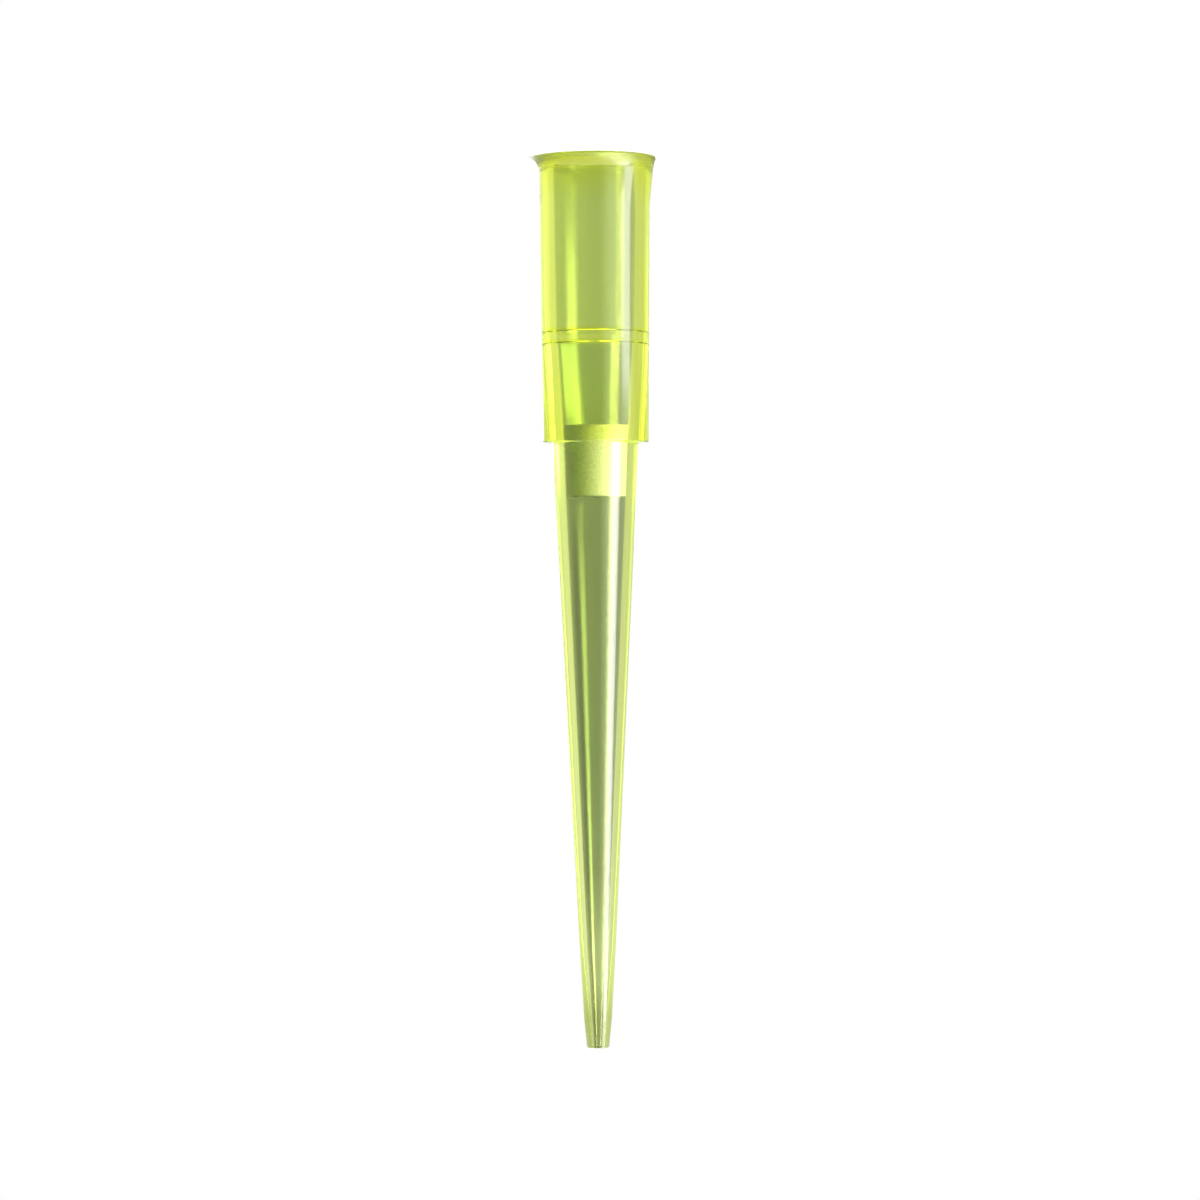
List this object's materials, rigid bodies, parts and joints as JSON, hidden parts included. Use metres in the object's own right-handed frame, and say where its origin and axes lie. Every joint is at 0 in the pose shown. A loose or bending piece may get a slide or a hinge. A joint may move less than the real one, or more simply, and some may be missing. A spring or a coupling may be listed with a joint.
{
  "type": "filtered pipette tip",
  "caption": "Slim hollow cone with a flared rim, a collar that ends in a shoulder, a socket for a pipette cone and a porous filter plug in its bore.",
  "frame": {"origin": "centre of the rim's face, which the tip stands on", "axes": "+Z along the bore axis from the rim to the nose; X and Y are alike, because the tip is a turned shape"},
  "size_m": [0.0082, 0.008, 0.059],
  "materials": {
    "tip_plastic": "moulded, see-through yellow-green",
    "filter_foam": "porous, sintered"
  },
  "bodies": {
    "root": {"tip_body": "tip_plastic", "filter_plug": "filter_foam"}
  },
  "joints": []
}
